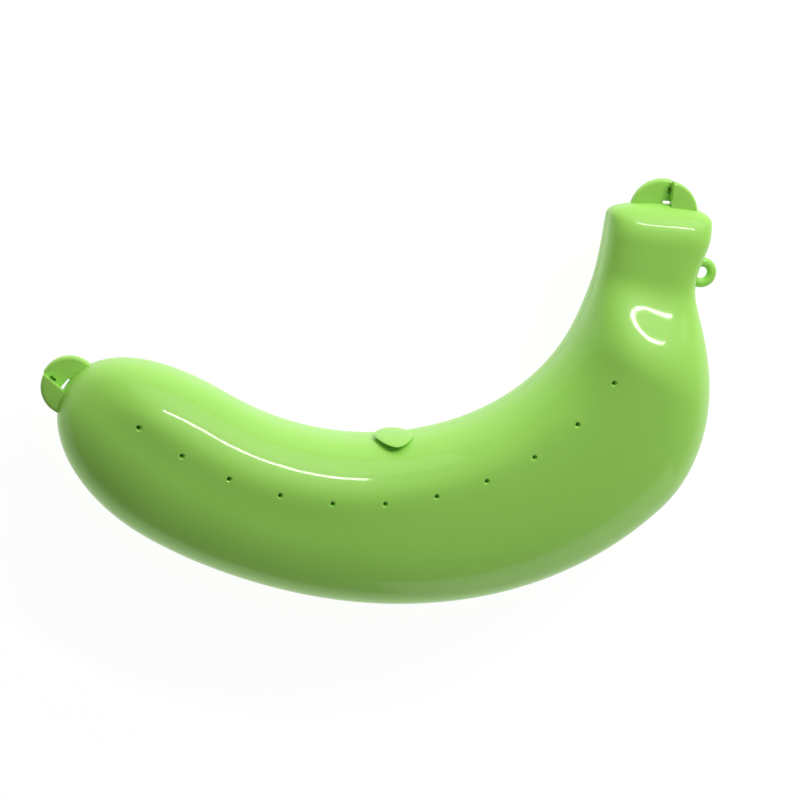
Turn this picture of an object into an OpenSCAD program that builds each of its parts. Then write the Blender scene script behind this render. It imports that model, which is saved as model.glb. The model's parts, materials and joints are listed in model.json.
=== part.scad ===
// Banana carrying case: two moulded half shells with a pinned hinge on the outer curve,
// a snap catch at each end and a latch tongue in the middle of the inner curve.
// The case lies on its rear half. The halves meet in a level parting plane.

/* [Case] */
// Depth of the closed case, back to front
case_depth = 45; // [40:1:54]
// Length of the bent part along the inner edge
body_len = 159.3; // [148:0.1:172]
// Length of the stem along the inner edge
stem_len = 48.8; // [44:0.2:58]
// Direction of the inner edge at the tip, in degrees
tip_angle = -43; // [-48:0.5:-36]
// Bend of the inner edge a third of the way along, in degrees per mm
belly_bend = 0.66; // [0.5:0.01:0.74]
// Bend of the inner edge two thirds of the way along, in degrees per mm
back_bend = 0.66; // [0.5:0.01:0.74]
// Bend of the inner edge at the neck, in degrees per mm
neck_bend = 1.06; // [0.9:0.01:1.14]
// Length over which the bend dies away into the stem
neck_fade = 57; // [40:1:64]
// Wall thickness of both halves
wall = 2.2; // [2:0.1:3]

/* [Form] */
// Width just behind the rounded tip
tip_w = 51.3; // [46:0.1:56]
// Width at the widest place, before the neck
belly_w = 59.3; // [54:0.1:64]
// Where the width starts to grow, from the tip
swell_from = 54; // [40:1:64]
// Where the width stops growing, from the tip
swell_to = 144; // [110:1:170]
// Width of the stem
stem_w = 27.4; // [25:0.2:32]
// Extra width at the end of the stem
stem_flare = 5.8; // [2:0.1:7]
// Distance from the stem's end to where it starts to widen
flare_back = 26; // [22:1:30]
// Length over which the stem widens
flare_len = 18; // [10:1:20]
// Depth of the stem, back to front
stem_depth = 22; // [20:0.5:32]
// How far before the end of the bent part the neck starts to narrow
neck_lead = 12.7; // [8:0.1:20]
// Length over which the neck narrows
neck_len = 49.5; // [44:0.5:56]
// Distance from the stem's end to where the depth starts to fall
shoulder_back = 44; // [40:1:52]
// Length over which the depth falls
shoulder_len = 23; // [18:1:28]
// Length of the rounded tip
tip_round = 40.8; // [34:0.1:46]
// Length of the rounding over the depth of the stem's end
end_round = 11; // [9:0.5:14]
// Length of the rounded corners of the stem's end, seen from the front
end_corner = 3.6; // [3:0.1:5]
// Squareness of the body's section, 2 for an ellipse
body_square = 2.5; // [2:0.1:3.2]
// Squareness of the stem's section
stem_square = 3.6; // [2.4:0.1:5]
// Squareness of the corners of the stem's end
end_square = 2.4; // [2:0.1:4]

/* [Rim] */
// Flat outer ledge of the rear rim, in front of the tongue
ledge_w = 1.1; // [1:0.05:1.3]
// Height of the rim tongue above the parting plane
tongue_h = 2; // [1.4:0.1:3]
// Side gap between the rim tongue and the front half
rim_gap = 0.3; // [0.2:0.05:0.4]
// Open seam between the halves
seam = 0.15; // [0.1:0.05:0.3]

/* [Vents] */
// Number of vent holes in each half
vent_count = 11; // [5:1:13]
// Diameter of a vent hole
vent_d = 1.6; // [1:0.1:2.4]
// First vent, from the tip along the inner edge
vent_first = 21.2; // [16:0.1:40]
// Spacing of the vents along the inner edge
vent_pitch = 13.8; // [8:0.1:14.2]
// Distance of the last vent from the inner edge
vent_edge = 13.9; // [11:0.1:17]
// How much further from the inner edge the first vent lies
vent_drift = 6.9; // [0:0.1:9]

/* [Catch ears] */
// Radius of the tip ear
tip_ear_r = 9; // [8:0.1:11]
// Radius of the stem ear
stem_ear_r = 10.5; // [10:0.1:12]
// Place of the tip ear's centre outside the tip
tip_ear_out = -1.1; // [-2:0.1:0.4]
// Place of the stem ear's centre outside the stem's end
stem_ear_out = -2.8; // [-3.6:0.1:-2]
// Shift of the tip ear towards the inner curve
tip_ear_side = -1.7; // [-3:0.1:0]
// Shift of the stem ear towards the inner curve
stem_ear_side = -1; // [-2:0.1:1]
// Place of the tip ear's split, towards the inner curve
tip_split = -4.1; // [-5:0.1:-3]
// Place of the stem ear's split, towards the inner curve
stem_split = -2.9; // [-3.8:0.1:-2]
// Width of the split between the half ears
split_gap = 0.4; // [0.3:0.05:0.8]
// Thickness of a half ear
ear_t = 3.6; // [3:0.1:5]
// Width of the flex slot between the tip of the case and its ear
tip_slot_w = 0.6; // [0.4:0.1:1]
// Width of the flex slot between the stem's end and its ear
stem_slot_w = 0.9; // [0.4:0.1:1.2]
// Length of the tip ear's flex slot
tip_slot_len = 3.6; // [1:0.1:5]
// Length of the stem ear's flex slot
stem_slot_len = 2.2; // [1:0.1:5]
// Distance of the catch peg from the end of the case
peg_out = 4.2; // [4:0.1:4.6]
// Radius of the catch peg
peg_r = 0.9; // [0.8:0.05:1.1]
// Depth of the catch peg's axis below the parting plane
peg_drop = 1.9; // [1.6:0.1:2.1]
// Length of the catch peg inside its groove
peg_len = 0.9; // [0.7:0.1:1.4]
// Radial gap between the peg and its groove
peg_gap = 0.1; // [0.05:0.05:0.2]

/* [Hinge] */
// Number of hinge knuckles
knuckle_count = 5; // [3:2:7]
// Length of one knuckle
knuckle_len = 5; // [4:0.5:6]
// Gap between neighbouring knuckles
knuckle_gap = 0.3; // [0.2:0.05:0.5]
// Radius of a knuckle
knuckle_r = 1.1; // [1.05:0.05:1.5]
// Radius of the hinge pin
pin_r = 0.5; // [0.4:0.05:0.6]
// Radial gap between the pin and a knuckle's bore
pin_gap = 0.05; // [0.02:0.01:0.1]
// Distance of the hinge axis outside the lowest point of the outer curve
hinge_out = 0.05; // [0.05:0.05:0.6]

/* [Latch tongue] */
// Place of the latch tongue along the inner edge, from the tip
latch_s = 95; // [86:1:106]
// Width of the latch tongue
latch_w = 12.5; // [8:0.5:16]
// Height of the latch tongue above the parting plane
latch_up = 13; // [9:0.5:14]
// Reach of its root below the parting plane
latch_down = 5.5; // [4:0.5:8]
// Thickness of the latch tongue
latch_t = 1.3; // [1:0.1:2.4]
// How pointed the two ends of its outline are, 1 for an oval
latch_point = 1.35; // [1:0.05:1.6]
// Gap between the latch tongue and the swing of the front half
latch_gap = 0.3; // [0.3:0.05:0.8]

/* [Carrying loop] */
// Place of the loop before the stem's end, along the inner edge
loop_back = 18; // [15:0.1:22]
// Radius of the hole in the loop
loop_hole_r = 1.9; // [1.6:0.1:2.4]
// Radius of the loop's round wire
loop_wire_r = 1.6; // [1.4:0.1:2]
// How far the hole bites into the round of the wire
loop_land = 0.2; // [0.1:0.05:0.4]
// Distance between the stem and the hole
loop_stand = 0.9; // [0.7:0.1:1.6]

/* [Hidden] */

shell_green = [0.62, 0.90, 0.36];
fitting_green = [0.58, 0.86, 0.33];
pin_grey = [0.78, 0.79, 0.80];
round_fn = 48;
over = 1;

case_len = body_len + stem_len;
parting_z = case_depth / 2;
third = body_len / 3;
neck_from = body_len - neck_lead;
shoulder_from = case_len - shoulder_back;
flare_from = case_len - flare_back;

// Rows of the skin along the case, and steps over one half of its section
tip_rows = 8;
body_rows = 38;
end_rows = 6;
arc_steps = 16;
rows = tip_rows + body_rows + end_rows;
row_step = (case_len - tip_round - end_round) / body_rows;

function mix(a, b, t) = a + (b - a) * t;
function ease(t) = let (c = min(1, max(0, t))) c * c * (3 - 2 * c);
function fold(x, p) = sign(x) * pow(abs(x), p);

// The inner edge: its bend changes steadily from third to third of the bent part,
// then dies away along the stem
function stretch(s, from, len) = min(len, max(0, s - from));
function ramp(a, b, x, len) = a * x + (b - a) * x * x / (2 * len);
function turn(s) =
    ramp(0, belly_bend, stretch(s, 0, third), third)
    + ramp(belly_bend, back_bend, stretch(s, third, third), third)
    + ramp(back_bend, neck_bend, stretch(s, 2 * third, third), third)
    + ramp(neck_bend, 0, stretch(s, body_len, neck_fade), neck_fade);
function heading(s) = tip_angle + turn(s);
function along(s) = [cos(heading(s)), sin(heading(s))];
function across(s) = [-sin(heading(s)), cos(heading(s))];

path_step = 0.5;
path_n = ceil(case_len / path_step);
path = [
    for (
        i = 0, p = [0, 0];
        i <= path_n + 1;
        p = p + path_step * along((i + 0.5) * path_step), i = i + 1
    ) p
];
function raw_edge(s) =
    let (t = s / path_step, i = min(floor(t), path_n))
    mix(path[i], path[i + 1], t - i);

// Half width and half depth of the skin, inset by t from the outside
function cap(x, p) = x >= 1 ? 1 : pow(1 - pow(1 - max(0, x), p), 1 / p);
function tip_cap(s, t) = cap((s - t) / (tip_round - t), 2);
function end_cap(s, t) = cap((case_len - t - s) / (end_round - t), 2);
function corner_cap(s, t) = cap((case_len - t - s) / (end_corner - t), end_square);
function free_w(s) =
    let (body = mix(tip_w, belly_w, ease((s - swell_from) / (swell_to - swell_from))))
    let (stem = stem_w + stem_flare * ease((s - flare_from) / flare_len))
    mix(body, stem, ease((s - neck_from) / neck_len));
function shoulder(s) = ease((s - shoulder_from) / shoulder_len);
function half_w(s, t) = (free_w(s) / 2 - t) * tip_cap(s, t) * corner_cap(s, t);
function half_d(s, t) =
    (mix(case_depth, stem_depth, shoulder(s)) / 2 - t) * tip_cap(s, t) * end_cap(s, t);
function squareness(s) = mix(body_square, stem_square, shoulder(s));

// Middle of each section, half its free width from the inner edge
function raw_spine(s) = raw_edge(s) - free_w(s) / 2 * across(s);

// Place of the origin under the middle of the case
function raw_rim(s, side) = raw_spine(s) + side * half_w(s, 0) * across(s);
low_rim = [for (s = [tip_round : 0.5 : neck_from]) raw_rim(s, -1)];
low_y = min([for (p = low_rim) p.y]);
low_x = [for (p = low_rim) if (p.y == low_y) p.x][0];
raw_tip_ear = raw_spine(0) - tip_ear_out * along(0) + tip_ear_side * across(0);
raw_stem_ear = raw_spine(case_len) + stem_ear_out * along(case_len) + stem_ear_side * across(case_len);
loop_s = case_len - loop_back;
loop_ring_r = loop_hole_r + loop_wire_r - loop_land;
raw_loop = raw_rim(loop_s, -1) - (loop_stand + loop_hole_r) * across(loop_s);
left_x = raw_tip_ear.x - tip_ear_r;
right_x = raw_loop.x + loop_ring_r + loop_wire_r;
top_y = raw_stem_ear.y + stem_ear_r;
bottom_y = low_y - hinge_out - knuckle_r;
middle = [(left_x + right_x) / 2, (top_y + bottom_y) / 2];

function spine(s) = raw_spine(s) - middle;
function rim(s, side) = raw_rim(s, side) - middle;
loop_place = raw_loop - middle;
hinge_place = [low_x, low_y - hinge_out] - middle;

// One point of the skin: row i, step j from the inner rim over the crown to the outer rim
function station(i, t) =
    i <= tip_rows
        ? t + (tip_round - t) * (1 - cos(90 * i / tip_rows))
        : i >= rows - end_rows
            ? case_len - t - (end_round - t) * (1 - cos(90 * (rows - i) / end_rows))
            : tip_round + (i - tip_rows) * row_step;
function place(s, v, z) = let (p = spine(s) + v * across(s)) [p.x, p.y, parting_z + z];
function skin(i, j, t, up, least) =
    let (s = station(i, t), a = 180 * j / arc_steps, e = 2 / squareness(s))
    place(s, half_w(s, t) * fold(cos(a), e), up * max(least, half_d(s, t) * fold(sin(a), e)));
function rim_point(i, side, t, z) = let (s = station(i, t)) place(s, side * half_w(s, t), z);

// Rim profile from the outside in: [inset, height above the parting plane]
rear_rim = [[ledge_w, 0], [ledge_w, tongue_h], [wall, tongue_h]];
front_rim = [[ledge_w - rim_gap, seam], [ledge_w - rim_gap, tongue_h + rim_gap]];

// Closed loop of points round one row of a half shell
function shell_loop(i, up, edge, outer_least, inner_least) = concat(
    [for (j = [0 : arc_steps]) skin(i, j, 0, up, outer_least)],
    [for (q = edge) rim_point(i, -1, q[0], q[1])],
    [for (j = [arc_steps : -1 : 0]) skin(i, j, wall, up, inner_least)],
    [for (k = [len(edge) - 1 : -1 : 0]) rim_point(i, 1, edge[k][0], edge[k][1])]
);
function pole_loop(i, up, edge, outer_least, inner_least) = concat(
    [skin(i, 0, 0, up, outer_least)],
    [for (q = edge) rim_point(i, 1, q[0], q[1])],
    [skin(i, 0, wall, up, inner_least)]
);
function distinct(f) = f[0] != f[1] && f[1] != f[2] && f[2] != f[0];
function turned(f, flip) = flip ? [f[2], f[1], f[0]] : f;

// Half shell as one loft, closed at the tip and at the stem's end
module half_shell(up, edge, outer_least, inner_least) {
    x = len(edge);
    size = 2 * (arc_steps + 1) + 2 * x;
    pole_size = x + 2;
    function pole_index(k) =
        k <= arc_steps ? 0 :
        k <= arc_steps + x ? k - arc_steps :
        k <= 2 * arc_steps + 1 + x ? x + 1 :
        size - k;
    function index(i, k) =
        i == 0 ? pole_index(k) :
        i == rows ? pole_size + (rows - 1) * size + pole_index(k) :
        pole_size + (i - 1) * size + k;
    points = concat(
        pole_loop(0, up, edge, outer_least, inner_least),
        [for (i = [1 : rows - 1]) each shell_loop(i, up, edge, outer_least, inner_least)],
        pole_loop(rows, up, edge, outer_least, inner_least)
    );
    faces = [
        for (i = [0 : rows - 1], k = [0 : size - 1])
            let (n = (k + 1) % size)
            let (a = index(i, k), b = index(i, n), c = index(i + 1, n), d = index(i + 1, k))
            for (f = [[a, b, c], [a, c, d]])
                if (distinct(f)) turned(f, up > 0)
    ];
    polyhedron(points, faces, convexity = 6);
}

// Solid outer form of the case between two rows, to cut fittings to the skin
module core(first, last) {
    size = 2 * arc_steps;
    function ring(i) = concat(
        [for (j = [0 : arc_steps]) skin(i, j, 0, 1, 0)],
        [for (j = [arc_steps - 1 : -1 : 1]) skin(i, j, 0, -1, 0)]
    );
    open_first = first > 0;
    open_last = last < rows;
    from = open_first ? first : first + 1;
    to = open_last ? last : last - 1;
    count = (to - from + 1) * size;
    points = concat(
        [for (i = [from : to]) each ring(i)],
        [open_first ? place(station(from, 0), 0, 0) : skin(0, 0, 0, 1, 0)],
        [open_last ? place(station(to, 0), 0, 0) : skin(rows, 0, 0, 1, 0)]
    );
    sides = [
        for (i = [0 : to - from - 1], k = [0 : size - 1])
            let (n = (k + 1) % size, base = i * size)
            let (a = base + k, b = base + n, c = base + size + n, d = base + size + k)
            each (k < arc_steps ? [[a, b, c], [a, c, d]] : [[a, b, d], [b, c, d]])
    ];
    first_end = [for (k = [0 : size - 1]) [count, (k + 1) % size, k]];
    last_end = [
        for (k = [0 : size - 1])
            [count + 1, count - size + k, count - size + (k + 1) % size]
    ];
    polyhedron(points, [for (f = concat(sides, first_end, last_end)) turned(f, true)], convexity = 4);
}
function row_at(s) = tip_rows + (s - tip_round) / row_step;
module tip_core() core(0, tip_rows + 1);
module stem_core() core(floor(row_at(case_len + stem_ear_out - stem_ear_r - over)), rows);
module middle_core(s, reach) core(floor(row_at(s - reach)), ceil(row_at(s + reach)));

// Frames of the fittings: outwards is +x at an ear, the inner curve is +y
module at_tip() {
    p = spine(0);
    translate([p.x, p.y, parting_z])
        rotate(heading(0) + 180)
            mirror([0, 1, 0])
                children();
}
module at_stem() {
    p = spine(case_len);
    translate([p.x, p.y, parting_z])
        rotate(heading(case_len))
            children();
}
module at_hinge() {
    translate([hinge_place.x, hinge_place.y, parting_z]) children();
}

// Vents follow the inner edge, each a little closer to it than the one before, drawn straight out
vent_curve = 1.5;
module vents() {
    for (k = [0 : vent_count - 1]) {
        s = vent_first + k * vent_pitch;
        from_edge = vent_edge + vent_drift * pow(1 - k / (vent_count - 1), vent_curve);
        p = raw_edge(s) - from_edge * across(s) - middle;
        translate([p.x, p.y, -over])
            cylinder(d = vent_d, h = case_depth + 2 * over, $fn = round_fn);
    }
}

knuckle_step = knuckle_len + knuckle_gap;
hinge_len = knuckle_count * knuckle_step - knuckle_gap;
groove_r = knuckle_r + rim_gap;
module hinge_rod(r, from, len) {
    translate([from, 0, 0])
        rotate([0, 90, 0])
            cylinder(r = r, h = len, $fn = round_fn);
}
module hinge_groove() {
    at_hinge()
        hinge_rod(groove_r, -hinge_len / 2 - rim_gap, hinge_len + 2 * rim_gap);
}

module rear_shell() {
    color(shell_green)
        difference() {
            half_shell(-1, rear_rim, 0, 0);
            vents();
            hinge_groove();
        }
}
module front_shell() {
    color(shell_green)
        difference() {
            half_shell(1, front_rim, seam, tongue_h + rim_gap);
            vents();
            hinge_groove();
        }
}

// One half of a round ear, on the inner side of its split or on the outer
module half_ear(r, out, side, split, inner, from, thick) {
    edge = inner ? split + split_gap / 2 : split - split_gap / 2;
    translate([0, 0, from])
        linear_extrude(thick)
            intersection() {
                translate([out, side]) circle(r, $fn = 2 * round_fn);
                translate([-2 * r, inner ? edge : edge - 4 * r]) square(4 * r);
            }
}
module across_rod(r, out, from, len) {
    translate([out, from, -peg_drop])
        rotate([-90, 0, 0])
            cylinder(r = r, h = len, $fn = round_fn);
}
// Groove that opens upwards, so that the peg snaps in from above
module peg_groove(split) {
    groove_w = peg_r + peg_gap;
    from = split - over;
    len = over + split_gap / 2 + peg_len + peg_gap;
    across_rod(groove_w, peg_out, from, len);
    translate([peg_out - groove_w, from, -peg_drop])
        cube([2 * groove_w, len, peg_drop + over]);
}
module rear_ear(r, out, side, split, slot_w, slot_len) {
    difference() {
        half_ear(r, out, side, split, true, -ear_t, ear_t);
        translate([-r, split, -ear_t - over])
            cube([slot_w + r, split_gap / 2 + slot_len, ear_t + 2 * over]);
        peg_groove(split);
    }
}
lug_wall = 0.7;
lug_w = 2 * (peg_r + lug_wall);
lug_len = 3;
module front_ear(r, out, side, split) {
    half_ear(r, out, side, split, false, seam, ear_t);
    translate([peg_out - lug_w / 2, split - split_gap / 2 - lug_len, -ear_t])
        cube([lug_w, lug_len, ear_t + seam + over]);
}
module catch_peg(split) {
    across_rod(peg_r, peg_out, split - split_gap / 2, split_gap + peg_len);
}

module rear_tip_ear() {
    color(fitting_green)
        difference() {
            at_tip()
                rear_ear(
                    tip_ear_r, tip_ear_out, tip_ear_side, tip_split, tip_slot_w, tip_slot_len
                );
            tip_core();
        }
}
module rear_stem_ear() {
    color(fitting_green)
        difference() {
            at_stem()
                rear_ear(
                    stem_ear_r, stem_ear_out, stem_ear_side, stem_split, stem_slot_w, stem_slot_len
                );
            stem_core();
        }
}
module front_tip_ear() {
    color(fitting_green)
        difference() {
            at_tip() front_ear(tip_ear_r, tip_ear_out, tip_ear_side, tip_split);
            tip_core();
        }
}
module front_stem_ear() {
    color(fitting_green)
        difference() {
            at_stem() front_ear(stem_ear_r, stem_ear_out, stem_ear_side, stem_split);
            stem_core();
        }
}
module tip_catch_peg() {
    color(fitting_green) at_tip() catch_peg(tip_split);
}
module stem_catch_peg() {
    color(fitting_green) at_stem() catch_peg(stem_split);
}

// Hinge: knuckles of the two halves take turns along one pin
hinge_s = [for (s = [tip_round : 0.5 : neck_from]) if (raw_rim(s, -1).y == low_y) s][0];
web_in = hinge_out + wall;
module knuckles(first, up) {
    difference() {
        at_hinge()
            for (k = [first : 2 : knuckle_count - 1]) {
                from = -hinge_len / 2 + k * knuckle_step;
                difference() {
                    union() {
                        hinge_rod(knuckle_r, from, knuckle_len);
                        translate([from, 0, up > 0 ? 0 : -knuckle_r])
                            cube([knuckle_len, web_in, knuckle_r]);
                    }
                    hinge_rod(pin_r + pin_gap, from - over, knuckle_len + 2 * over);
                }
            }
        difference() {
            middle_core(hinge_s, hinge_len);
            hinge_groove();
        }
    }
}
module rear_hinge_knuckles() {
    color(fitting_green) knuckles(0, -1);
}
module front_hinge_knuckles() {
    color(fitting_green) knuckles(1, 1);
}
module hinge_pin() {
    color(pin_grey) at_hinge() hinge_rod(pin_r, -hinge_len / 2, hinge_len);
}

// Latch tongue: curved about the hinge axis, just outside the swing of the front half
latch_x = rim(latch_s, 1).x;
swing_r = max([
    for (s = [latch_s - latch_w : 1 : latch_s + latch_w], a = [0 : 5 : 60])
        let (e = 2 / squareness(s))
        let (p = place(s, half_w(s, 0) * fold(cos(a), e), half_d(s, 0) * fold(sin(a), e)))
        norm([p.y - hinge_place.y, p.z - parting_z])
]);
latch_in_r = swing_r + latch_gap;
latch_out_r = latch_in_r + latch_t;
function sweep_angle(h) = asin(h / latch_in_r);
module latch_band(in_r, from, to) {
    translate([latch_x, hinge_place.y, parting_z])
        rotate([0, 90, 0])
            rotate(90 + from)
                rotate_extrude(angle = to - from, $fn = 8 * round_fn)
                    translate([in_r, -latch_w / 2])
                        square([latch_out_r - in_r, latch_w]);
}
// Lens outline of the tongue, seen from the inner curve
module latch_outline() {
    steps = 40;
    half_h = (latch_up + latch_down) / 2;
    lens = [
        for (k = [0 : steps - 1])
            let (a = 360 * k / steps)
            [latch_w / 2 * cos(a), latch_up - half_h + half_h * fold(sin(a), latch_point)]
    ];
    translate([latch_x, hinge_place.y + 2 * latch_out_r, parting_z])
        rotate([90, 0, 0])
            linear_extrude(2 * latch_out_r)
                polygon(lens);
}
module latch_tongue() {
    root_depth = latch_gap + wall;
    color(fitting_green)
        difference() {
            intersection() {
                union() {
                    latch_band(latch_in_r, -sweep_angle(latch_down) - over, sweep_angle(latch_up) + over);
                    latch_band(latch_in_r - root_depth, -sweep_angle(latch_down) - over, 0);
                }
                latch_outline();
            }
            middle_core(latch_s, 2 * latch_w);
        }
}

// Carrying loop: a round ring beside the stem, level with the rear rim
module carry_loop() {
    color(fitting_green)
        difference() {
            translate([loop_place.x, loop_place.y, parting_z - loop_wire_r - seam])
                difference() {
                    rotate_extrude($fn = 2 * round_fn)
                        translate([loop_ring_r, 0])
                            circle(loop_wire_r, $fn = round_fn);
                    cylinder(r = loop_hole_r, h = 4 * loop_wire_r, center = true, $fn = round_fn);
                }
            middle_core(loop_s, row_step + loop_ring_r + loop_wire_r);
        }
}

rear_shell();
rear_tip_ear();
rear_stem_ear();
latch_tongue();
carry_loop();
rear_hinge_knuckles();
hinge_pin();
front_shell();
front_tip_ear();
front_stem_ear();
tip_catch_peg();
stem_catch_peg();
front_hinge_knuckles();
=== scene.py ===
import json
from math import asin, cos, pi, radians, sin, sqrt, tan

import bmesh
import bpy
from mathutils import Matrix, Vector


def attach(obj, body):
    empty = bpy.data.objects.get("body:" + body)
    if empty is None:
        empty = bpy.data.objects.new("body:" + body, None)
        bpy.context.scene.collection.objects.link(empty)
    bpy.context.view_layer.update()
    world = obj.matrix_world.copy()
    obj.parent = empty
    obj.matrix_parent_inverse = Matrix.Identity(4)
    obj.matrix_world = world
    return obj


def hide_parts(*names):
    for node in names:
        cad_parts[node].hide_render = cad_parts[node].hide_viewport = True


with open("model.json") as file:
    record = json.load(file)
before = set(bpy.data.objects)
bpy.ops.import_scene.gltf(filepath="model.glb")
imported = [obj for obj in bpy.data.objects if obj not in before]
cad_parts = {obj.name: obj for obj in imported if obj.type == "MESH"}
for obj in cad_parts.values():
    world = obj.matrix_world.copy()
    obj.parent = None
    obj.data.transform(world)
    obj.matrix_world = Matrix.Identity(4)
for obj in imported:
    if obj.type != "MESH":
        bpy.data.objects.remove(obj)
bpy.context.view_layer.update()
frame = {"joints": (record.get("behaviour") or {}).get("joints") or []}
mm = 0.001
hingeAt = Vector(frame["joints"][0]["pos_m"]) / mm  # hinge axis in millimetres
partingZ = hingeAt.z
print("frame loaded")

# the case's own curve and sections, in millimetres and degrees
case = dict(
    depth=45, bodyLen=159.3, stemLen=48.8, wall=2.2,
    tipAngle=-43, neckFade=57,
    bellyBend=0.66, backBend=0.66, neckBend=1.06,  # degrees per millimetre
    tipW=51.3, bellyW=59.3, swellFrom=54, swellTo=144,
    stemW=27.4, stemFlare=5.8, flareBack=26, flareLen=18, stemDepth=22,
    neckLead=12.7, neckLen=49.5, shoulderBack=44, shoulderLen=23,
    tipRound=40.8, endRound=11, endCorner=4.8,
    bodySquare=2.5, stemSquare=3.6, endSquare=2.4,  # powers of the rounded sections, 2 is a plain ellipse
    hingeOut=0.05, pathStep=0.5,
)
caseLen = case["bodyLen"] + case["stemLen"]
third = case["bodyLen"] / 3


def mix(a, b, t):
    return a + (b - a) * t


def ease(t):
    c = min(1, max(0, t))
    return c * c * (3 - 2 * c)


def fold(x, power):  # power that keeps the sign
    return (1 if x >= 0 else -1) * abs(x) ** power


def bendOver(s, start, length, bendFrom, bendTo):
    x = min(length, max(0, s - start))
    return bendFrom * x + (bendTo - bendFrom) * x * x / (2 * length)


def heading(s):
    degrees = (
        case["tipAngle"]
        + bendOver(s, 0, third, 0, case["bellyBend"])
        + bendOver(s, third, third, case["bellyBend"], case["backBend"])
        + bendOver(s, 2 * third, third, case["backBend"], case["neckBend"])
        + bendOver(s, case["bodyLen"], case["neckFade"], case["neckBend"], 0)
    )
    return radians(degrees)


def along(s):
    return Vector((cos(heading(s)), sin(heading(s))))


def across(s):  # towards the inner curve
    return Vector((-sin(heading(s)), cos(heading(s))))


innerEdge = [Vector((0, 0))]
for step in range(int(caseLen / case["pathStep"]) + 1):
    innerEdge.append(innerEdge[-1] + case["pathStep"] * along((step + 0.5) * case["pathStep"]))


def rawEdge(s):
    t = s / case["pathStep"]
    i = min(int(t), len(innerEdge) - 2)
    return innerEdge[i].lerp(innerEdge[i + 1], t - i)


def freeWidth(s):
    swell = ease((s - case["swellFrom"]) / (case["swellTo"] - case["swellFrom"]))
    body = mix(case["tipW"], case["bellyW"], swell)
    stem = case["stemW"] + case["stemFlare"] * ease((s - caseLen + case["flareBack"]) / case["flareLen"])
    neckFrom = case["bodyLen"] - case["neckLead"]
    return mix(body, stem, ease((s - neckFrom) / case["neckLen"]))


def shoulder(s):
    return ease((s - caseLen + case["shoulderBack"]) / case["shoulderLen"])


def cap(x, power):
    return (1 - (1 - min(1, max(0, x))) ** power) ** (1 / power)


def tipCap(s, inset):
    return cap((s - inset) / (case["tipRound"] - inset), 2)


def halfWidth(s, inset):
    corner = cap((caseLen - inset - s) / (case["endCorner"] - inset), case["endSquare"])
    return (freeWidth(s) / 2 - inset) * tipCap(s, inset) * corner


def halfDepth(s, inset):
    end = cap((caseLen - inset - s) / (case["endRound"] - inset), 2)
    return (mix(case["depth"], case["stemDepth"], shoulder(s)) / 2 - inset) * tipCap(s, inset) * end


def squareness(s):
    return mix(case["bodySquare"], case["stemSquare"], shoulder(s))


# soft ridge where the front face turns into the inner flank
ridge = dict(
    height=0.9, riseFrom=6, riseLen=18, fallFrom=138, fallLen=20,
    at=0.4, drift=0.35, spread=0.4, edge=0.15,  # shares of the half width
    driftFrom=60, driftLen=92, driftCurve=1.3,  # where the crest moves towards the inner edge
    crest=0.4,  # softness, as a share of the spread
)


def ridgeLift(s, x):
    shift = min(1, max(0, (s - ridge["driftFrom"]) / ridge["driftLen"]))
    u = (x - ridge["at"] - ridge["drift"] * shift ** ridge["driftCurve"]) / ridge["spread"]
    soft = ridge["crest"]
    t = max(0, 1 - (sqrt(u * u + soft * soft) - soft) / (sqrt(1 + soft * soft) - soft))
    edge = ease((1 - x) / ridge["edge"])
    rise = ease((s - ridge["riseFrom"]) / ridge["riseLen"])
    fall = 1 - ease((s - ridge["fallFrom"]) / ridge["fallLen"])
    return ridge["height"] * t * t * edge * rise * fall


def rawSpine(s):
    return rawEdge(s) - freeWidth(s) / 2 * across(s)


# the lowest point of the outer edge carries the hinge, which ties this curve to the frame
outerCount = int((case["bodyLen"] - case["tipRound"]) / case["pathStep"])
outerStations = [case["tipRound"] + case["pathStep"] * k for k in range(outerCount)]
outerEdge = [rawSpine(s) - halfWidth(s, 0) * across(s) for s in outerStations]
lowest = min(outerEdge, key=lambda p: p.y)
curveOffset = lowest - Vector((0, case["hingeOut"])) - hingeAt.xy


def spine(s):
    return rawSpine(s) - curveOffset


def place(s, v, z):  # v towards the inner curve, z above the parting plane
    p = spine(s) + v * across(s)
    return Vector((p.x, p.y, partingZ + z)) * mm


# finishes
def newMaterial(name):
    material = bpy.data.materials.new(name)
    material.use_nodes = True
    nodes = material.node_tree.nodes
    return material, nodes, material.node_tree.links, nodes["Principled BSDF"]


def addNoise(nodes, links, vector, scale, detail):
    noise = nodes.new("ShaderNodeTexNoise")
    noise.inputs["Scale"].default_value = scale
    noise.inputs["Detail"].default_value = detail
    links.new(vector, noise.inputs["Vector"])
    return noise.outputs["Fac"]


def addTint(nodes, links, value, shader, colours, spots):
    tint = nodes.new("ShaderNodeValToRGB")
    for element, colour, spot in zip(tint.color_ramp.elements, colours, spots):
        element.position = spot
        element.color = [*colour, 1]
    links.new(value, tint.inputs["Fac"])
    links.new(tint.outputs["Color"], shader.inputs["Base Color"])


def addRoughness(nodes, links, value, shader, low, high):
    rough = nodes.new("ShaderNodeMapRange")
    rough.inputs["To Min"].default_value = low
    rough.inputs["To Max"].default_value = high
    links.new(value, rough.inputs["Value"])
    links.new(rough.outputs["Result"], shader.inputs["Roughness"])


mouldedLook = dict(
    lightGreen=(0.405, 0.82, 0.137), deepGreen=(0.375, 0.785, 0.125), fittingShade=0.97,
    flowScale=22, flowDetail=3, flowSpots=(0.3, 0.7),
    peelScale=420, peelDetail=2, peelHeight=0.00003, peelStrength=0.25,
    roughLow=0.36, roughHigh=0.44, ior=1.49, specular=0.22, coat=0.3, coatRough=0.07,
    subsurface=0.08, subsurfaceRadius=(0.6, 1.0, 0.25), subsurfaceScale=0.003,
)


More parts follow.
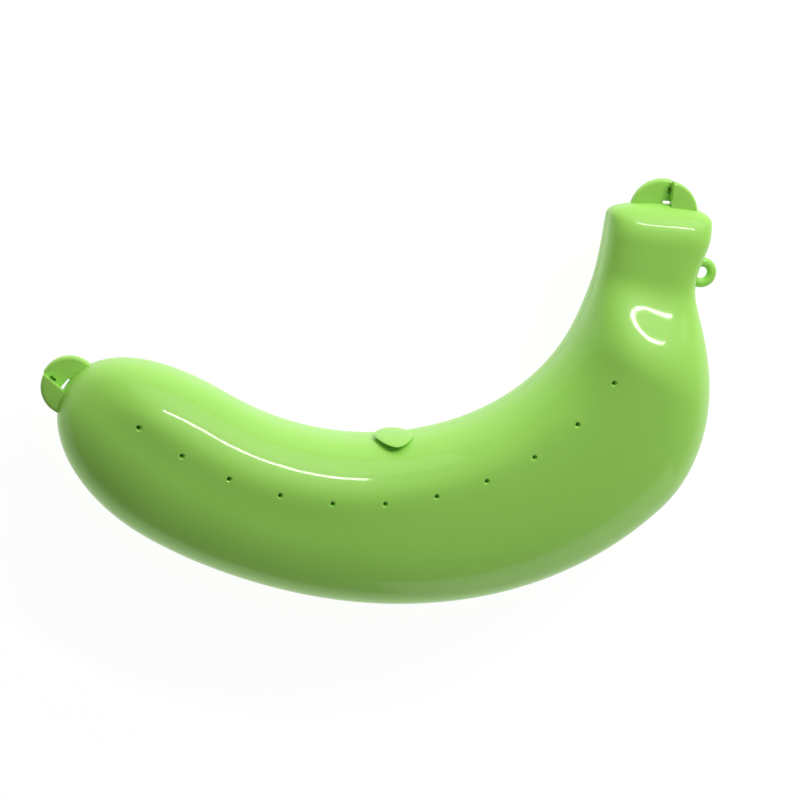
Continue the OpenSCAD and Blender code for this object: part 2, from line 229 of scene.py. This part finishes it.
def mouldedPlastic(name, shade):
    look = mouldedLook
    material, nodes, links, shader = newMaterial(name)
    coords = nodes.new("ShaderNodeTexCoord")
    # slow drift of colour, as melt flow leaves it
    flow = addNoise(nodes, links, coords.outputs["Object"], look["flowScale"], look["flowDetail"])
    greens = [[c * shade for c in look[tone]] for tone in ("deepGreen", "lightGreen")]
    addTint(nodes, links, flow, shader, greens, look["flowSpots"])
    # faint orange peel of a moulded face
    peel = addNoise(nodes, links, coords.outputs["Object"], look["peelScale"], look["peelDetail"])
    addRoughness(nodes, links, peel, shader, look["roughLow"], look["roughHigh"])
    bump = nodes.new("ShaderNodeBump")
    bump.inputs["Strength"].default_value = look["peelStrength"]
    bump.inputs["Distance"].default_value = look["peelHeight"]
    links.new(peel, bump.inputs["Height"])
    links.new(bump.outputs["Normal"], shader.inputs["Normal"])
    shader.inputs["IOR"].default_value = look["ior"]
    shader.inputs["Specular IOR Level"].default_value = look["specular"]
    shader.inputs["Coat Weight"].default_value = look["coat"]
    shader.inputs["Coat Roughness"].default_value = look["coatRough"]
    shader.inputs["Subsurface Weight"].default_value = look["subsurface"]
    shader.inputs["Subsurface Radius"].default_value = look["subsurfaceRadius"]
    shader.inputs["Subsurface Scale"].default_value = look["subsurfaceScale"]
    return material


wireLook = dict(
    darkSteel=(0.42, 0.43, 0.44), lightSteel=(0.68, 0.69, 0.70), tintSpots=(0, 1),
    drawnScale=(60, 2400, 2400), lineScale=1, lineDetail=2, roughLow=0.2, roughHigh=0.4,
)


def drawnWire(name):
    look = wireLook
    material, nodes, links, shader = newMaterial(name)
    coords = nodes.new("ShaderNodeTexCoord")
    lengthwise = nodes.new("ShaderNodeMapping")
    lengthwise.inputs["Scale"].default_value = look["drawnScale"]
    links.new(coords.outputs["Object"], lengthwise.inputs["Vector"])
    # fine lines along the wire
    lines = addNoise(nodes, links, lengthwise.outputs["Vector"], look["lineScale"], look["lineDetail"])
    addTint(nodes, links, lines, shader, (look["darkSteel"], look["lightSteel"]), look["tintSpots"])
    addRoughness(nodes, links, lines, shader, look["roughLow"], look["roughHigh"])
    shader.inputs["Metallic"].default_value = 1
    return material


shellPlastic = mouldedPlastic("shellPlastic", 1)
fittingPlastic = mouldedPlastic("fittingPlastic", mouldedLook["fittingShade"])
pinWire = drawnWire("pinWire")
print("finishes ready")

# tools for the pieces
creaseAngle = 40  # degrees, edges that turn more are rounded or stay creased
mergeDist = 0.001  # millimetres


def looseObject(bm, name):
    mesh = bpy.data.meshes.new(name)
    bm.to_mesh(mesh)
    obj = bpy.data.objects.new(name, mesh)
    bpy.context.scene.collection.objects.link(obj)
    return obj


def carve(bm, cutter, operation="DIFFERENCE"):
    body = looseObject(bm, "carveBody")
    tool = looseObject(cutter, "carveTool")
    modifier = body.modifiers.new("carve", "BOOLEAN")
    modifier.operation = operation
    modifier.solver = "EXACT"
    modifier.object = tool
    view = bpy.context.evaluated_depsgraph_get()
    carved = bpy.data.meshes.new_from_object(body.evaluated_get(view))
    bm.clear()
    bm.from_mesh(carved)
    leftOver = [body.data, tool.data, carved]
    bpy.data.objects.remove(body)
    bpy.data.objects.remove(tool)
    for mesh in leftOver:
        bpy.data.meshes.remove(mesh)


def closeUp(bm):
    bmesh.ops.remove_doubles(bm, verts=bm.verts, dist=mergeDist * mm)
    bmesh.ops.recalc_face_normals(bm, faces=bm.faces)


def roundEdges(bm, edges, width, segments=3):
    bmesh.ops.bevel(
        bm, geom=edges, offset=width * mm, offset_type="OFFSET", affect="EDGES",
        segments=segments, profile=0.5, material=-1, clamp_overlap=True,
    )


def sharpEdges(bm):
    return [e for e in bm.edges if len(e.link_faces) == 2 and e.calc_face_angle(0) > radians(creaseAngle)]


def box(bm, low, high):
    made = bmesh.ops.create_cube(bm, size=1)
    low, high = Vector(low), Vector(high)
    shape = Matrix.Translation((low + high) / 2 * mm) @ Matrix.Diagonal([*((high - low) * mm), 1])
    bmesh.ops.transform(bm, verts=made["verts"], matrix=shape)


def finishPiece(name, bm, material, body, node):
    obj = looseObject(bm, name)
    bm.free()
    obj.data.shade_smooth()
    obj.data.set_sharp_from_angle(angle=radians(creaseAngle))
    obj.data.materials.append(material)
    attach(obj, body)
    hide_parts(node)
    print("made", name, len(obj.data.polygons), "faces")


# half shells: one closed section carried along the case
shellGrid = dict(tipRows=44, bodyRows=150, endRows=24, outerSteps=104, innerSteps=48)
rowCount = shellGrid["tipRows"] + shellGrid["bodyRows"] + shellGrid["endRows"]
seamMark, firstRimMark, innerMark = 1, 2, 9  # number the corner lines of a section, for rounding


def station(i, inset):
    grid = shellGrid
    if i <= grid["tipRows"]:
        return inset + (case["tipRound"] - inset) * (1 - cos(pi / 2 * i / grid["tipRows"]))
    if i >= rowCount - grid["endRows"]:
        back = 1 - cos(pi / 2 * (rowCount - i) / grid["endRows"])
        return caseLen - inset - (case["endRound"] - inset) * back
    even = (caseLen - case["tipRound"] - case["endRound"]) / grid["bodyRows"]
    return case["tipRound"] + (i - grid["tipRows"]) * even


def rowsAt(inset):
    rows = []
    for i in range(rowCount + 1):
        s = station(i, inset)
        rows.append((s, spine(s), across(s), halfWidth(s, inset), halfDepth(s, inset), 2 / squareness(s)))
    return rows


def arcEntries(inset, least, steps, backwards=False, ridged=False):
    angles = [pi * j / steps for j in range(steps + 1)]
    order = reversed(angles) if backwards else angles
    return [dict(inset=inset, angle=a, least=least, ridged=ridged) for a in order]


def sectionMesh(up, entries):
    rows = {e["inset"]: rowsAt(e["inset"]) for e in entries}
    bm = bmesh.new()
    corner = bm.verts.layers.int.new("corner")
    # a unit grid, with x laid along the case and y round its section
    bmesh.ops.create_grid(bm, x_segments=rowCount, y_segments=len(entries), size=0.5)
    for vert in bm.verts:
        i = round((vert.co.x + 0.5) * rowCount)
        entry = entries[round((vert.co.y + 0.5) * len(entries)) % len(entries)]
        s, centre, side, halfW, halfD, power = rows[entry["inset"]][i]
        share = fold(cos(entry["angle"]), power)
        z = entry.get("z")
        if z is None:
            lift = ridgeLift(s, share) if entry["ridged"] else 0
            z = up * max(entry["least"], halfD * fold(sin(entry["angle"]), power) + lift)
        p = centre + halfW * share * side
        vert.co = Vector((p.x, p.y, partingZ + z)) * mm
        poleMark = entry.get("poleMark", 0) if i in (0, rowCount) else 0
        vert[corner] = entry.get("mark", poleMark)
    return bm, corner


def caseCore(inset):  # solid form of the closed case, to trim the fittings to the wall
    whole = arcEntries(inset, -case["depth"], shellGrid["innerSteps"])
    under = [dict(e, angle=2 * pi - e["angle"]) for e in reversed(whole[1:-1])]
    bm = sectionMesh(1, whole + under)[0]
    closeUp(bm)
    return bm


def halfShell(up, rimCorners, outerLeast, innerLeast, roundings):
    outer = arcEntries(0, outerLeast, shellGrid["outerSteps"], ridged=up > 0)
    inner = arcEntries(case["wall"], innerLeast, shellGrid["innerSteps"], backwards=True)
    for arc, mark in ((outer, seamMark), (inner, innerMark)):
        for e in arc:
            e["poleMark"] = mark
        arc[0]["mark"] = arc[-1]["mark"] = mark
    marked = [dict(inset=t, z=z, mark=firstRimMark + k) for k, (t, z) in enumerate(rimCorners)]
    outerSide = [dict(e, angle=pi) for e in marked]
    innerSide = [dict(e, angle=0) for e in reversed(marked)]
    bm, corner = sectionMesh(up, outer + outerSide + inner + innerSide)
    closeUp(bm)
    for mark, width in roundings:
        edges = [e for e in bm.edges if all(v[corner] == mark for v in e.verts)]
        roundEdges(bm, edges, width)
    return bm


vent = dict(
    count=11, first=21.2, pitch=13.8, edge=13.9, drift=6.9, curve=1.5,
    wideD=1.9, narrowD=0.3, dishR=1.4, dishLift=0.95,  # ends of the tapered cutter, and the dish round it
    segments=28, dishRings=18,
)


def ventPlaces(up):
    for k in range(vent["count"]):
        s = vent["first"] + k * vent["pitch"]
        fromEdge = vent["edge"] + vent["drift"] * (1 - k / (vent["count"] - 1)) ** vent["curve"]
        v = freeWidth(s) / 2 - fromEdge
        halfW, halfD, square = halfWidth(s, 0), halfDepth(s, 0), squareness(s)
        share = v / halfW
        height = halfD * (1 - abs(share) ** square) ** (1 / square)
        leanV = fold(share, square - 1) / halfW
        leanZ = (height / halfD) ** (square - 1) / halfD
        lift = ridgeLift(s, share) if up > 0 else 0
        yield s, v, height + lift, Vector((leanV, leanZ)).normalized()


def ventCutter(up):
    bm = bmesh.new()
    wide, narrow = vent["wideD"] / 2 * mm, vent["narrowD"] / 2 * mm
    for s, v, height, _ in ventPlaces(up):
        made = bmesh.ops.create_cone(
            bm, cap_ends=True, segments=vent["segments"], radius1=narrow, radius2=wide,
            depth=2 * case["wall"] * mm,
        )
        tapered = Matrix.Translation(place(s, v, up * (height - case["wall"] / 2)))
        if up < 0:
            tapered = tapered @ Matrix.Rotation(pi, 4, "X")
        bmesh.ops.transform(bm, verts=made["verts"], matrix=tapered)
    return bm


def dishCutter(up):  # small dish round each vent
    bm = bmesh.new()
    lift = vent["dishLift"]
    for s, v, height, normal in ventPlaces(up):
        made = bmesh.ops.create_uvsphere(
            bm, u_segments=vent["segments"], v_segments=vent["dishRings"], radius=vent["dishR"] * mm,
        )
        spot = place(s, v + lift * normal.x, up * (height + lift * normal.y))
        bmesh.ops.translate(bm, verts=made["verts"], vec=spot)
    return bm


hinge = dict(
    knuckles=5, knuckleLen=5, gap=0.3, knuckleR=1.1, pinR=0.5, boreR=0.55, clearance=0.3,
    webFrom=0.1, webRise=1.8, knuckleRound=0.25, pinRound=0.2, boreSpare=1, segments=40,
)
hinge["step"] = hinge["knuckleLen"] + hinge["gap"]
hinge["length"] = hinge["knuckles"] * hinge["step"] - hinge["gap"]
alongX = Matrix.Rotation(pi / 2, 4, "Y")


def hingeRod(bm, r, start, length):
    made = bmesh.ops.create_cone(
        bm, cap_ends=True, segments=hinge["segments"], radius1=r * mm, radius2=r * mm, depth=length * mm,
    )
    centre = hingeAt + Vector((start + length / 2, 0, 0))
    bmesh.ops.transform(bm, verts=made["verts"], matrix=Matrix.Translation(centre * mm) @ alongX)


def hingeGroove():
    bm = bmesh.new()
    spare = hinge["clearance"]
    hingeRod(bm, hinge["knuckleR"] + spare, -hinge["length"] / 2 - spare, hinge["length"] + 2 * spare)
    return bm


def cutShell(bm, up):
    for cutter in (ventCutter(up), dishCutter(up), hingeGroove()):
        carve(bm, cutter)
        cutter.free()


# shiplap rim: a tongue on the rear half, and a lip on the front half that closes over it
rim = dict(ledge=1.1, tongue=2.0, gap=0.3, seam=0.15, seamRound=0.5, lipRound=0.25)
lipIn = rim["ledge"] - rim["gap"]
lipTop = rim["tongue"] + rim["gap"]

rearShell = halfShell(
    up=-1, outerLeast=0, innerLeast=0,
    rimCorners=[(rim["ledge"], 0), (rim["ledge"], rim["tongue"]), (case["wall"], rim["tongue"])],
    roundings=[
        (seamMark, rim["seamRound"]),
        (firstRimMark + 1, rim["lipRound"]),
        (firstRimMark + 2, rim["lipRound"]),
    ],
)
cutShell(rearShell, -1)
finishPiece("rearHalfShell", rearShell, shellPlastic, "rear_half", "rear_shell")

frontShell = halfShell(
    up=1, outerLeast=rim["seam"], innerLeast=lipTop,
    rimCorners=[(lipIn, rim["seam"]), (lipIn, lipTop)],
    roundings=[(seamMark, rim["seamRound"]), (firstRimMark, rim["lipRound"]), (innerMark, rim["lipRound"])],
)
cutShell(frontShell, 1)
finishPiece("frontHalfShell", frontShell, shellPlastic, "front_half", "front_shell")

# catch ears: round plates split in two, one half on each shell
rootDepth = 0.7  # how far the fittings reach into the wall
trimmer = caseCore(rootDepth)
tipFrame = Matrix.Translation(place(0, 0, 0)) @ Matrix.Rotation(heading(0) + pi, 4, "Z")
tipFrame = tipFrame @ Matrix.Diagonal((1, -1, 1, 1))
stemFrame = Matrix.Translation(place(caseLen, 0, 0)) @ Matrix.Rotation(heading(caseLen), 4, "Z")
ear = dict(
    thick=3.6, splitGap=0.16, lap=0.2, edgeRound=1.1, edgeSteps=4, plateSegments=128,
    pegOut=4.2, pegR=0.9, pegDrop=1.9, pegLen=0.9, pegGap=0.1, pegRound=0.3, pegSegments=32,
    lugWall=0.7, lugLen=3, lugSink=1, lugRound=0.4, cutSpare=1,
)
ear["lugW"] = 2 * (ear["pegR"] + ear["lugWall"])
tipEar = dict(r=9, out=-1.1, side=-1.7, split=-4.1, slotW=0.6, slotLen=3.6, frame=tipFrame)
stemEar = dict(r=10.5, out=-2.8, side=-1, split=-2.9, slotW=0.9, slotLen=2.2, frame=stemFrame)


def crossRod(bm, r, start, length):  # lies across the ear, below the parting plane
    made = bmesh.ops.create_cone(
        bm, cap_ends=True, segments=ear["pegSegments"], radius1=r * mm, radius2=r * mm, depth=length * mm,
    )
    spot = Vector((ear["pegOut"], start + length / 2, -ear["pegDrop"])) * mm
    lying = Matrix.Translation(spot) @ Matrix.Rotation(pi / 2, 4, "X")
    bmesh.ops.transform(bm, verts=made["verts"], matrix=lying)


def earPlate(spec, inner, low):  # inner is the part towards the inner curve
    bm = bmesh.new()
    bmesh.ops.create_circle(bm, cap_ends=True, segments=ear["plateSegments"], radius=spec["r"] * mm)
    bmesh.ops.translate(bm, verts=bm.verts, vec=Vector((spec["out"], spec["side"], low)) * mm)
    cutAt = Vector((0, spec["split"] + (ear["splitGap"] / 2 if inner else ear["lap"]), 0)) * mm
    awayY = -1 if inner else 1
    geom = bm.verts[:] + bm.edges[:] + bm.faces[:]
    bmesh.ops.bisect_plane(bm, geom=geom, plane_co=cutAt, plane_no=(0, awayY, 0), clear_outer=True)
    made = bmesh.ops.extrude_face_region(bm, geom=bm.faces[:])
    lifted = [g for g in made["geom"] if isinstance(g, bmesh.types.BMVert)]
    bmesh.ops.translate(bm, verts=lifted, vec=Vector((0, 0, ear["thick"])) * mm)
    bmesh.ops.recalc_face_normals(bm, faces=bm.faces)
    # the edges of the split stay sharp
    free = [e for e in sharpEdges(bm) if any(abs(v.co.y - cutAt.y) >= mergeDist * mm for v in e.verts)]
    roundEdges(bm, free, ear["edgeRound"], ear["edgeSteps"])
    return bm


def intoFrame(bm, spec):  # the tip's frame is mirrored, which turns the faces over
    bmesh.ops.transform(bm, verts=bm.verts, matrix=spec["frame"])
    if spec["frame"].determinant() < 0:
        bmesh.ops.reverse_faces(bm, faces=bm.faces)


def trimEar(bm, spec):
    intoFrame(bm, spec)
    carve(bm, trimmer)


def rearEar(name, node, spec):
    bm = earPlate(spec, True, -ear["thick"])
    spare = ear["cutSpare"]
    cutFrom = spec["split"] - spare
    cutter = bmesh.new()
    slotTo = spec["split"] + ear["splitGap"] / 2 + spec["slotLen"]
    box(cutter, (-spare, cutFrom, -ear["thick"] - spare), (spec["slotW"], slotTo, spare))  # flex slot
    carve(bm, cutter)
    cutter.clear()
    grooveR = ear["pegR"] + ear["pegGap"]
    grooveLen = spare + ear["splitGap"] / 2 + ear["pegLen"] + ear["pegGap"]
    crossRod(cutter, grooveR, cutFrom, grooveLen)  # seat of the peg
    carve(bm, cutter)
    cutter.clear()
    box(cutter, (ear["pegOut"] - grooveR, cutFrom, -ear["pegDrop"]),
        (ear["pegOut"] + grooveR, cutFrom + grooveLen, spare))  # way in for the peg
    carve(bm, cutter)
    cutter.free()
    trimEar(bm, spec)
    finishPiece(name, bm, fittingPlastic, "rear_half", node)


def frontEar(name, node, spec):
    bm = earPlate(spec, False, rim["seam"])
    lug = bmesh.new()
    lugEnd = spec["split"] - ear["splitGap"] / 2
    box(lug, (ear["pegOut"] - ear["lugW"] / 2, lugEnd - ear["lugLen"], -ear["thick"]),
        (ear["pegOut"] + ear["lugW"] / 2, lugEnd, rim["seam"] + ear["lugSink"]))
    roundEdges(lug, [e for e in lug.edges if max(v.co.z for v in e.verts) < 0], ear["lugRound"])
    carve(bm, lug, "UNION")
    lug.free()
    trimEar(bm, spec)
    finishPiece(name, bm, fittingPlastic, "front_half", node)


def catchPeg(name, node, spec):
    bm = bmesh.new()
    start = spec["split"] - ear["splitGap"] / 2
    crossRod(bm, ear["pegR"], start, ear["splitGap"] + ear["pegLen"])
    far = [e for e in sharpEdges(bm) if all(v.co.y > spec["split"] * mm for v in e.verts)]
    roundEdges(bm, far, ear["pegRound"])
    intoFrame(bm, spec)
    finishPiece(name, bm, fittingPlastic, "front_half", node)


rearEar("rearTipEar", "rear_tip_ear", tipEar)
rearEar("rearStemEar", "rear_stem_ear", stemEar)
frontEar("frontTipEar", "front_tip_ear", tipEar)
frontEar("frontStemEar", "front_stem_ear", stemEar)
catchPeg("tipCatchPeg", "tip_catch_peg", tipEar)
catchPeg("stemCatchPeg", "stem_catch_peg", stemEar)


# hinge on the outer curve
def knuckles(name, node, body, first, up):
    whole = bmesh.new()
    if up > 0:  # the front web ends in the lip, clear of the rim tongue
        reach, low, high = lipIn, rim["seam"], hinge["webRise"]
    else:
        reach, low, high = hinge["knuckleR"] + hinge["clearance"], -hinge["knuckleR"], 0
    for k in range(first, hinge["knuckles"], 2):
        start = -hinge["length"] / 2 + k * hinge["step"]
        bm = bmesh.new()
        hingeRod(bm, hinge["knuckleR"], start, hinge["knuckleLen"])
        roundEdges(bm, sharpEdges(bm), hinge["knuckleRound"])
        web = bmesh.new()
        box(web, (start, hinge["webFrom"], low), (start + hinge["knuckleLen"], reach, high))
        bmesh.ops.translate(web, verts=web.verts, vec=hingeAt * mm)
        carve(bm, web, "UNION")
        web.free()
        bore = bmesh.new()
        spare = hinge["boreSpare"]
        hingeRod(bore, hinge["boreR"], start - spare, hinge["knuckleLen"] + 2 * spare)
        carve(bm, bore)
        bore.free()
        part = bpy.data.meshes.new("knuckle")
        bm.to_mesh(part)
        bm.free()
        whole.from_mesh(part)
        bpy.data.meshes.remove(part)
    finishPiece(name, whole, fittingPlastic, body, node)


def hingePin():
    bm = bmesh.new()
    hingeRod(bm, hinge["pinR"], -hinge["length"] / 2, hinge["length"])
    roundEdges(bm, sharpEdges(bm), hinge["pinRound"])
    finishPiece("hingePin", bm, pinWire, "rear_half", "hinge_pin")


knuckles("rearKnuckles", "rear_hinge_knuckles", "rear_half", 0, -1)
knuckles("frontKnuckles", "front_hinge_knuckles", "front_half", 1, 1)
hingePin()

# latch tongue: a pointed oval pad curved about the hinge axis
latch = dict(
    s=95, w=12.5, up=13.4, down=5.5, thick=0.9, gap=0.15, pointed=0.55, flatness=8,
    rootSink=1.4, rootLen=2.5, sweepSide=7, sweepDegrees=60, sweepStep=5, segments=72, rings=40,
)


def swingRadius():  # what the front half sweeps past the tongue as it opens
    reach = []
    for ds in range(-latch["sweepSide"], latch["sweepSide"] + 1):
        s = latch["s"] + ds
        power = 2 / squareness(s)
        for degrees in range(0, latch["sweepDegrees"] + 1, latch["sweepStep"]):
            z = halfDepth(s, 0) * fold(sin(radians(degrees)), power)
            p = spine(s) + halfWidth(s, 0) * fold(cos(radians(degrees)), power) * across(s)
            reach.append(sqrt((p.y - hingeAt.y) ** 2 + z ** 2))
    return max(reach)


latchX = (spine(latch["s"]) + halfWidth(latch["s"], 0) * across(latch["s"])).x
latchIn = swingRadius() + latch["gap"]


def ontoSwing(x, height, out):
    r = latchIn + out
    angle = asin(max(-1, min(1, height / latchIn)))
    return Vector((latchX + x, hingeAt.y + r * cos(angle), partingZ + r * sin(angle))) * mm


def latchTongue():
    bm = bmesh.new()
    made = bmesh.ops.create_uvsphere(bm, u_segments=latch["segments"], v_segments=latch["rings"], radius=1)
    halfH = (latch["up"] + latch["down"]) / 2
    halfThick = latch["thick"] / 2
    for vert in made["verts"]:
        flat = sqrt(vert.co.x ** 2 + vert.co.y ** 2)
        outside = vert.co.z >= 0
        lift = sqrt(1 - min(1, flat) ** latch["flatness"])  # flat pad with a rolled edge
        point = abs(vert.co.y / flat) ** latch["pointed"] if flat > mergeDist * mm else 1
        x = latch["w"] / 2 * vert.co.x
        height = latch["up"] - halfH + halfH * vert.co.y * point
        out = halfThick + (lift if outside else -lift) * halfThick
        if not outside:  # below the parting plane the root reaches into the rear wall
            out -= (latch["gap"] + latch["rootSink"]) * ease(-height / latch["rootLen"]) * lift
        vert.co = ontoSwing(x, height, out)
    closeUp(bm)
    carve(bm, trimmer)
    finishPiece("latchTongue", bm, fittingPlastic, "rear_half", "latch_tongue")


latchTongue()

# carrying loop beside the stem
loop = dict(back=18, holeR=1.9, wireR=1.6, land=0.2, stand=0.9, wireSegments=32, ringSegments=72)


def carryLoop():
    s = caseLen - loop["back"]
    ringR = loop["holeR"] + loop["wireR"] - loop["land"]
    centre = place(s, -halfWidth(s, 0) - loop["stand"] - loop["holeR"], -loop["wireR"] - rim["seam"])
    bm = bmesh.new()
    made = bmesh.ops.create_circle(bm, segments=loop["wireSegments"], radius=loop["wireR"] * mm)
    upright = Matrix.Translation((ringR * mm, 0, 0)) @ Matrix.Rotation(pi / 2, 4, "X")
    bmesh.ops.transform(bm, verts=made["verts"], matrix=upright)
    for vert in bm.verts:  # narrow straight land in the hole
        vert.co.x = max(vert.co.x, loop["holeR"] * mm)
    bmesh.ops.spin(
        bm, geom=bm.edges[:], cent=(0, 0, 0), axis=(0, 0, 1), angle=2 * pi,
        steps=loop["ringSegments"], use_merge=True,
    )
    closeUp(bm)
    bmesh.ops.translate(bm, verts=bm.verts, vec=centre)
    carve(bm, trimmer)
    finishPiece("carryLoop", bm, fittingPlastic, "rear_half", "carry_loop")


carryLoop()
trimmer.free()

# floor, light and camera
stage = dict(
    size=6, floorWhite=0.12, floorGlow=0.94, floorRough=0.9, skyGlow=0.15, lightTarget=(0, 0, 0.02),
    lights=[
        dict(name="lowKey", spot=(0.402, 0.756, 0.3), width=1.2, height=0.4, power=3.2),
        dict(name="tubeStrip", spot=(0.415, 0.685, 0.622), width=0.5, height=0.034, power=4.5),
        dict(name="lowFill", spot=(0.48, -0.84, 0.28), width=0.9, height=0.5, power=2.0),
    ],
)


def paleFloor():
    bm = bmesh.new()
    bmesh.ops.create_grid(bm, x_segments=1, y_segments=1, size=stage["size"])
    floor = looseObject(bm, "paleFloor")
    bm.free()
    material, _, _, shader = newMaterial("paleFloor")
    shader.inputs["Base Color"].default_value = [stage["floorWhite"]] * 3 + [1]
    shader.inputs["Roughness"].default_value = stage["floorRough"]
    shader.inputs["Emission Color"].default_value = (1, 1, 1, 1)
    shader.inputs["Emission Strength"].default_value = stage["floorGlow"]
    floor.data.materials.append(material)


def softLight(name, spot, width, height, power):
    light = bpy.data.lights.new(name, "AREA")
    light.shape = "RECTANGLE"
    light.size, light.size_y = width, height
    light.energy = power
    lamp = bpy.data.objects.new(name, light)
    bpy.context.scene.collection.objects.link(lamp)
    lamp.location = spot
    aim = Vector(stage["lightTarget"]) - Vector(spot)
    lamp.rotation_euler = aim.to_track_quat("-Z", "Y").to_euler()


def paleSky():
    world = bpy.data.worlds.new("studio")
    bpy.context.scene.world = world
    world.use_nodes = True
    sky = world.node_tree.nodes["Background"]
    sky.inputs["Color"].default_value = (1, 1, 1, 1)
    sky.inputs["Strength"].default_value = stage["skyGlow"]


paleFloor()
for spec in stage["lights"]:
    softLight(**spec)
paleSky()

# camera in millimetres and degrees, in front of the case, a little to the left and above
shot = dict(
    target=(5.0535, -0.6304, 22.5), leftTilt=8, upTilt=14, distance=750, frameWidth=253.28, sensor=36,
    near=50, far=20000,
)


def photoCamera():
    camera = bpy.data.cameras.new("photoCamera")
    camera.sensor_width = shot["sensor"]
    camera.lens = shot["sensor"] * shot["distance"] / shot["frameWidth"]
    camera.clip_start, camera.clip_end = shot["near"] * mm, shot["far"] * mm
    holder = bpy.data.objects.new("photoCamera", camera)
    bpy.context.scene.collection.objects.link(holder)
    back = Vector((-tan(radians(shot["leftTilt"])), tan(radians(shot["upTilt"])), 1)).normalized()
    right = Vector((0, 1, 0)).cross(back).normalized()
    turned = Matrix((right, back.cross(right), back)).transposed().to_4x4()
    spot = Vector(shot["target"]) + shot["distance"] * back
    holder.matrix_world = Matrix.Translation(spot * mm) @ turned
    bpy.context.scene.camera = holder


photoCamera()
bpy.context.scene.view_settings.view_transform = "Standard"
print("stage set")
